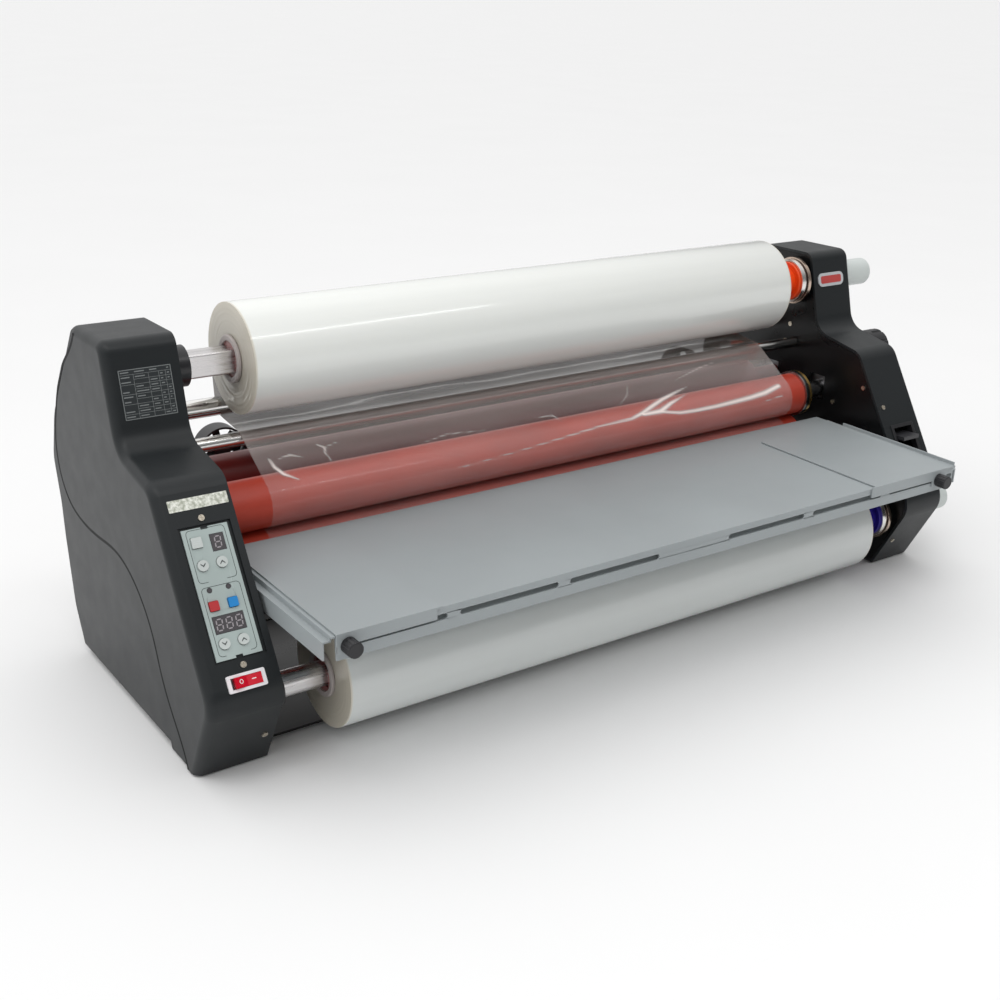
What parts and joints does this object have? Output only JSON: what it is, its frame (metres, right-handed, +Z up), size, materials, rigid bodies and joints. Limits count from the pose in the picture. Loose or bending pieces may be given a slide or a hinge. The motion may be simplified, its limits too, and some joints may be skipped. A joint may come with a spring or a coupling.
{
  "type": "roll laminator",
  "caption": "Desktop roll laminator with two film rolls, idlers, heated and pull rollers, slotted feed table with sliding guides and moulded side covers.",
  "frame": {"origin": "centre of the whole footprint at floor level", "axes": "+X runs along the rollers to the side of the tension knobs, +Y is the back where the laminate comes out, +Z is up"},
  "size_m": [0.93, 0.4246, 0.3494],
  "materials": {
    "frame_black": "satin black paint",
    "cover_charcoal": "fine textured moulding, satin",
    "foot_rubber": "matt",
    "screw_steel": "bright zinc",
    "fascia_grey": "printed overlay, satin",
    "display_dark": "smoked window",
    "label_film": "printed label film",
    "trim_white": "smooth moulding",
    "rocker_red": "translucent red moulding",
    "badge_silver": "domed badge",
    "trim_black": "smooth moulding",
    "ring_chrome": "polished",
    "heater_ceramic": "matt",
    "motor_metal": "cast housing, painted",
    "board_green": "laminate board",
    "fan_black": "moulded",
    "film_clear": "clear film",
    "film_milky": "wound film, translucent",
    "chuck_orange": "moulded",
    "chuck_blue": "moulded",
    "mandrel_aluminium": "satin anodised",
    "nip_steel": "machined",
    "silicone_red": "smooth silicone",
    "shaft_steel": "turned, brass-tinted end collars",
    "pull_red": "smooth silicone",
    "lever_grey": "satin",
    "knob_black": "moulded grip",
    "table_grey": "fine powder coat",
    "button_red": "smooth moulding",
    "button_blue": "smooth moulding"
  },
  "bodies": {
    "machine": {"left_side_frame": "frame_black", "right_side_frame": "frame_black", "base_plate": "frame_black", "fan_bar": "frame_black", "left_cover": "cover_charcoal", "right_cover": "cover_charcoal", "rubber_feet": "foot_rubber", "cover_screws": "screw_steel", "control_fascia": "fascia_grey", "display_windows": "display_dark", "cover_labels": "label_film", "rocker_bezel": "trim_white", "round_badge": "badge_silver", "lever_escutcheon": "trim_black", "roll_sockets": "trim_black", "brake_rings": "ring_chrome", "lower_heater_rod": "heater_ceramic", "gear_motor": "motor_metal", "control_electronics": "board_green", "power_inlet": "trim_black", "fan_frames": "fan_black", "upper_web": "film_clear", "lower_web": "film_clear"},
    "upper_roll": {"upper_film_roll": "film_milky", "upper_core": "chuck_orange", "upper_mandrel": "mandrel_aluminium"},
    "lower_roll": {"lower_film_roll": "film_milky", "lower_core": "chuck_blue", "lower_mandrel": "mandrel_aluminium"},
    "upper_tension": {"upper_tension_knob": "trim_white"},
    "lower_tension": {"lower_tension_knob": "trim_white"},
    "rear_idler_bar": {"rear_idler": "ring_chrome"},
    "front_idler_bar": {"front_idler": "ring_chrome"},
    "lower_idler_bar": {"lower_idler": "ring_chrome"},
    "nip_carriage": {"nip_blocks": "nip_steel", "upper_web_nip": "film_clear", "upper_heater_rod": "heater_ceramic"},
    "upper_heat_roller": {"upper_heat_sleeve": "silicone_red", "upper_heat_shaft": "shaft_steel"},
    "lower_heat_roller": {"lower_heat_sleeve": "silicone_red", "lower_heat_shaft": "shaft_steel"},
    "upper_pull": {"upper_pull_roller": "pull_red"},
    "lower_pull": {"lower_pull_roller": "pull_red"},
    "lever": {"nip_lever": "lever_grey"},
    "side_knob": {"pressure_knob": "knob_black"},
    "table": {"feed_table": "table_grey"},
    "guide_left": {"left_guide": "table_grey"},
    "guide_right": {"right_guide": "table_grey"},
    "guide_knob_left": {"left_guide_knob": "knob_black"},
    "guide_knob_right": {"right_guide_knob": "knob_black"},
    "fan_left": {"left_fan_rotor": "fan_black"},
    "fan_right": {"right_fan_rotor": "fan_black"},
    "run": {"run_button": "trim_white"},
    "heater": {"heater_button": "button_red"},
    "ready": {"ready_button": "button_blue"},
    "speed_down": {"speed_down_button": "trim_white"},
    "speed_up": {"speed_up_button": "trim_white"},
    "temperature_down": {"temperature_down_button": "trim_white"},
    "temperature_up": {"temperature_up_button": "trim_white"},
    "rocker": {"power_rocker": "rocker_red"}
  },
  "joints": [
    {"name": "upper_roll_spin", "type": "hinge", "parent": "machine", "child": "upper_roll", "pos_m": [0, 0.064, 0.3], "axis": [1, 0, 0], "continuous": true},
    {"name": "lower_roll_spin", "type": "hinge", "parent": "machine", "child": "lower_roll", "pos_m": [0, -0.092, 0.063], "axis": [1, 0, 0], "continuous": true},
    {"name": "upper_tension_turn", "type": "hinge", "parent": "upper_roll", "child": "upper_tension", "pos_m": [0.44, 0.064, 0.3], "axis": [1, 0, 0], "range_deg": [-360, 360]},
    {"name": "lower_tension_turn", "type": "hinge", "parent": "lower_roll", "child": "lower_tension", "pos_m": [0.44, -0.092, 0.063], "axis": [1, 0, 0], "range_deg": [-360, 360]},
    {"name": "rear_idler_spin", "type": "hinge", "parent": "machine", "child": "rear_idler_bar", "pos_m": [0, 0.099, 0.248], "axis": [1, 0, 0], "continuous": true},
    {"name": "front_idler_spin", "type": "hinge", "parent": "machine", "child": "front_idler_bar", "pos_m": [0, 0.06, 0.2275], "axis": [1, 0, 0], "continuous": true},
    {"name": "lower_idler_spin", "type": "hinge", "parent": "machine", "child": "lower_idler_bar", "pos_m": [0, -0.022, 0.094], "axis": [1, 0, 0], "continuous": true},
    {"name": "nip_lever_turn", "type": "hinge", "parent": "machine", "child": "lever", "pos_m": [0.38, -0.035, 0.146], "axis": [1, 0, 0], "range_deg": [0, 12]},
    {"name": "nip_lift", "type": "slide", "parent": "machine", "child": "nip_carriage", "axis": [0, 0, 1], "range_m": [0, 0.00335]},
    {"name": "lower_heat_spin", "type": "hinge", "parent": "machine", "child": "lower_heat_roller", "pos_m": [0, 0.019, 0.1332], "axis": [1, 0, 0], "continuous": true},
    {"name": "upper_heat_spin", "type": "hinge", "parent": "nip_carriage", "child": "upper_heat_roller", "pos_m": [0, 0.019, 0.181], "axis": [1, 0, 0], "continuous": true},
    {"name": "upper_pull_spin", "type": "hinge", "parent": "nip_carriage", "child": "upper_pull", "pos_m": [0, 0.093, 0.181], "axis": [1, 0, 0], "continuous": true},
    {"name": "lower_pull_spin", "type": "hinge", "parent": "machine", "child": "lower_pull", "pos_m": [0, 0.093, 0.1332], "axis": [1, 0, 0], "continuous": true},
    {"name": "side_knob_turn", "type": "hinge", "parent": "machine", "child": "side_knob", "pos_m": [0.43, 0.009, 0.223], "axis": [1, 0, 0], "range_deg": [-180, 180]},
    {"name": "table_slide_off", "type": "slide", "parent": "machine", "child": "table", "axis": [0, -1, 0], "range_m": [0, 0.06]},
    {"name": "left_guide_slide", "type": "slide", "parent": "table", "child": "guide_left", "axis": [1, 0, 0], "range_m": [0, 0.08]},
    {"name": "right_guide_slide", "type": "slide", "parent": "table", "child": "guide_right", "axis": [1, 0, 0], "range_m": [-0.065, 0]},
    {"name": "left_guide_knob_turn", "type": "hinge", "parent": "guide_left", "child": "guide_knob_left", "pos_m": [-0.378, -0.21, 0.1455], "axis": [0, 1, 0], "range_deg": [-180, 180]},
    {"name": "right_guide_knob_turn", "type": "hinge", "parent": "guide_right", "child": "guide_knob_right", "pos_m": [0.312, -0.21, 0.1455], "axis": [0, 1, 0], "range_deg": [-180, 180]},
    {"name": "left_fan_spin", "type": "hinge", "parent": "machine", "child": "fan_left", "pos_m": [-0.32, 0.161, 0.184], "axis": [0, 1, 0], "continuous": true},
    {"name": "right_fan_spin", "type": "hinge", "parent": "machine", "child": "fan_right", "pos_m": [0.27, 0.161, 0.184], "axis": [0, 1, 0], "continuous": true},
    {"name": "run_press", "type": "slide", "parent": "machine", "child": "run", "axis": [0, 0.8467, -0.5321], "range_m": [0, 0.001], "stiffness_N_per_m": 400},
    {"name": "heater_press", "type": "slide", "parent": "machine", "child": "heater", "axis": [0, 0.8467, -0.5321], "range_m": [0, 0.001], "stiffness_N_per_m": 400},
    {"name": "ready_press", "type": "slide", "parent": "machine", "child": "ready", "axis": [0, 0.8467, -0.5321], "range_m": [0, 0.001], "stiffness_N_per_m": 400},
    {"name": "speed_down_press", "type": "slide", "parent": "machine", "child": "speed_down", "axis": [0, 0.8467, -0.5321], "range_m": [0, 0.001], "stiffness_N_per_m": 400},
    {"name": "speed_up_press", "type": "slide", "parent": "machine", "child": "speed_up", "axis": [0, 0.8467, -0.5321], "range_m": [0, 0.001], "stiffness_N_per_m": 400},
    {"name": "temperature_down_press", "type": "slide", "parent": "machine", "child": "temperature_down", "axis": [0, 0.8467, -0.5321], "range_m": [0, 0.001], "stiffness_N_per_m": 400},
    {"name": "temperature_up_press", "type": "slide", "parent": "machine", "child": "temperature_up", "axis": [0, 0.8467, -0.5321], "range_m": [0, 0.001], "stiffness_N_per_m": 400},
    {"name": "power_rocker_tilt", "type": "hinge", "parent": "machine", "child": "rocker", "pos_m": [-0.43, -0.12476, 0.0949], "axis": [0, 0.5321, 0.8467], "range_deg": [-18, 0]}
  ],
  "couplings": [
    {"joint": "nip_lever_turn", "follows": "nip_lift", "rad_per_m": 62.5},
    {"joint": "upper_heat_spin", "follows": "lower_heat_spin", "ratio": -1},
    {"joint": "upper_pull_spin", "follows": "lower_heat_spin", "ratio": -1.0548},
    {"joint": "lower_pull_spin", "follows": "lower_heat_spin", "ratio": 1.0548}
  ]
}
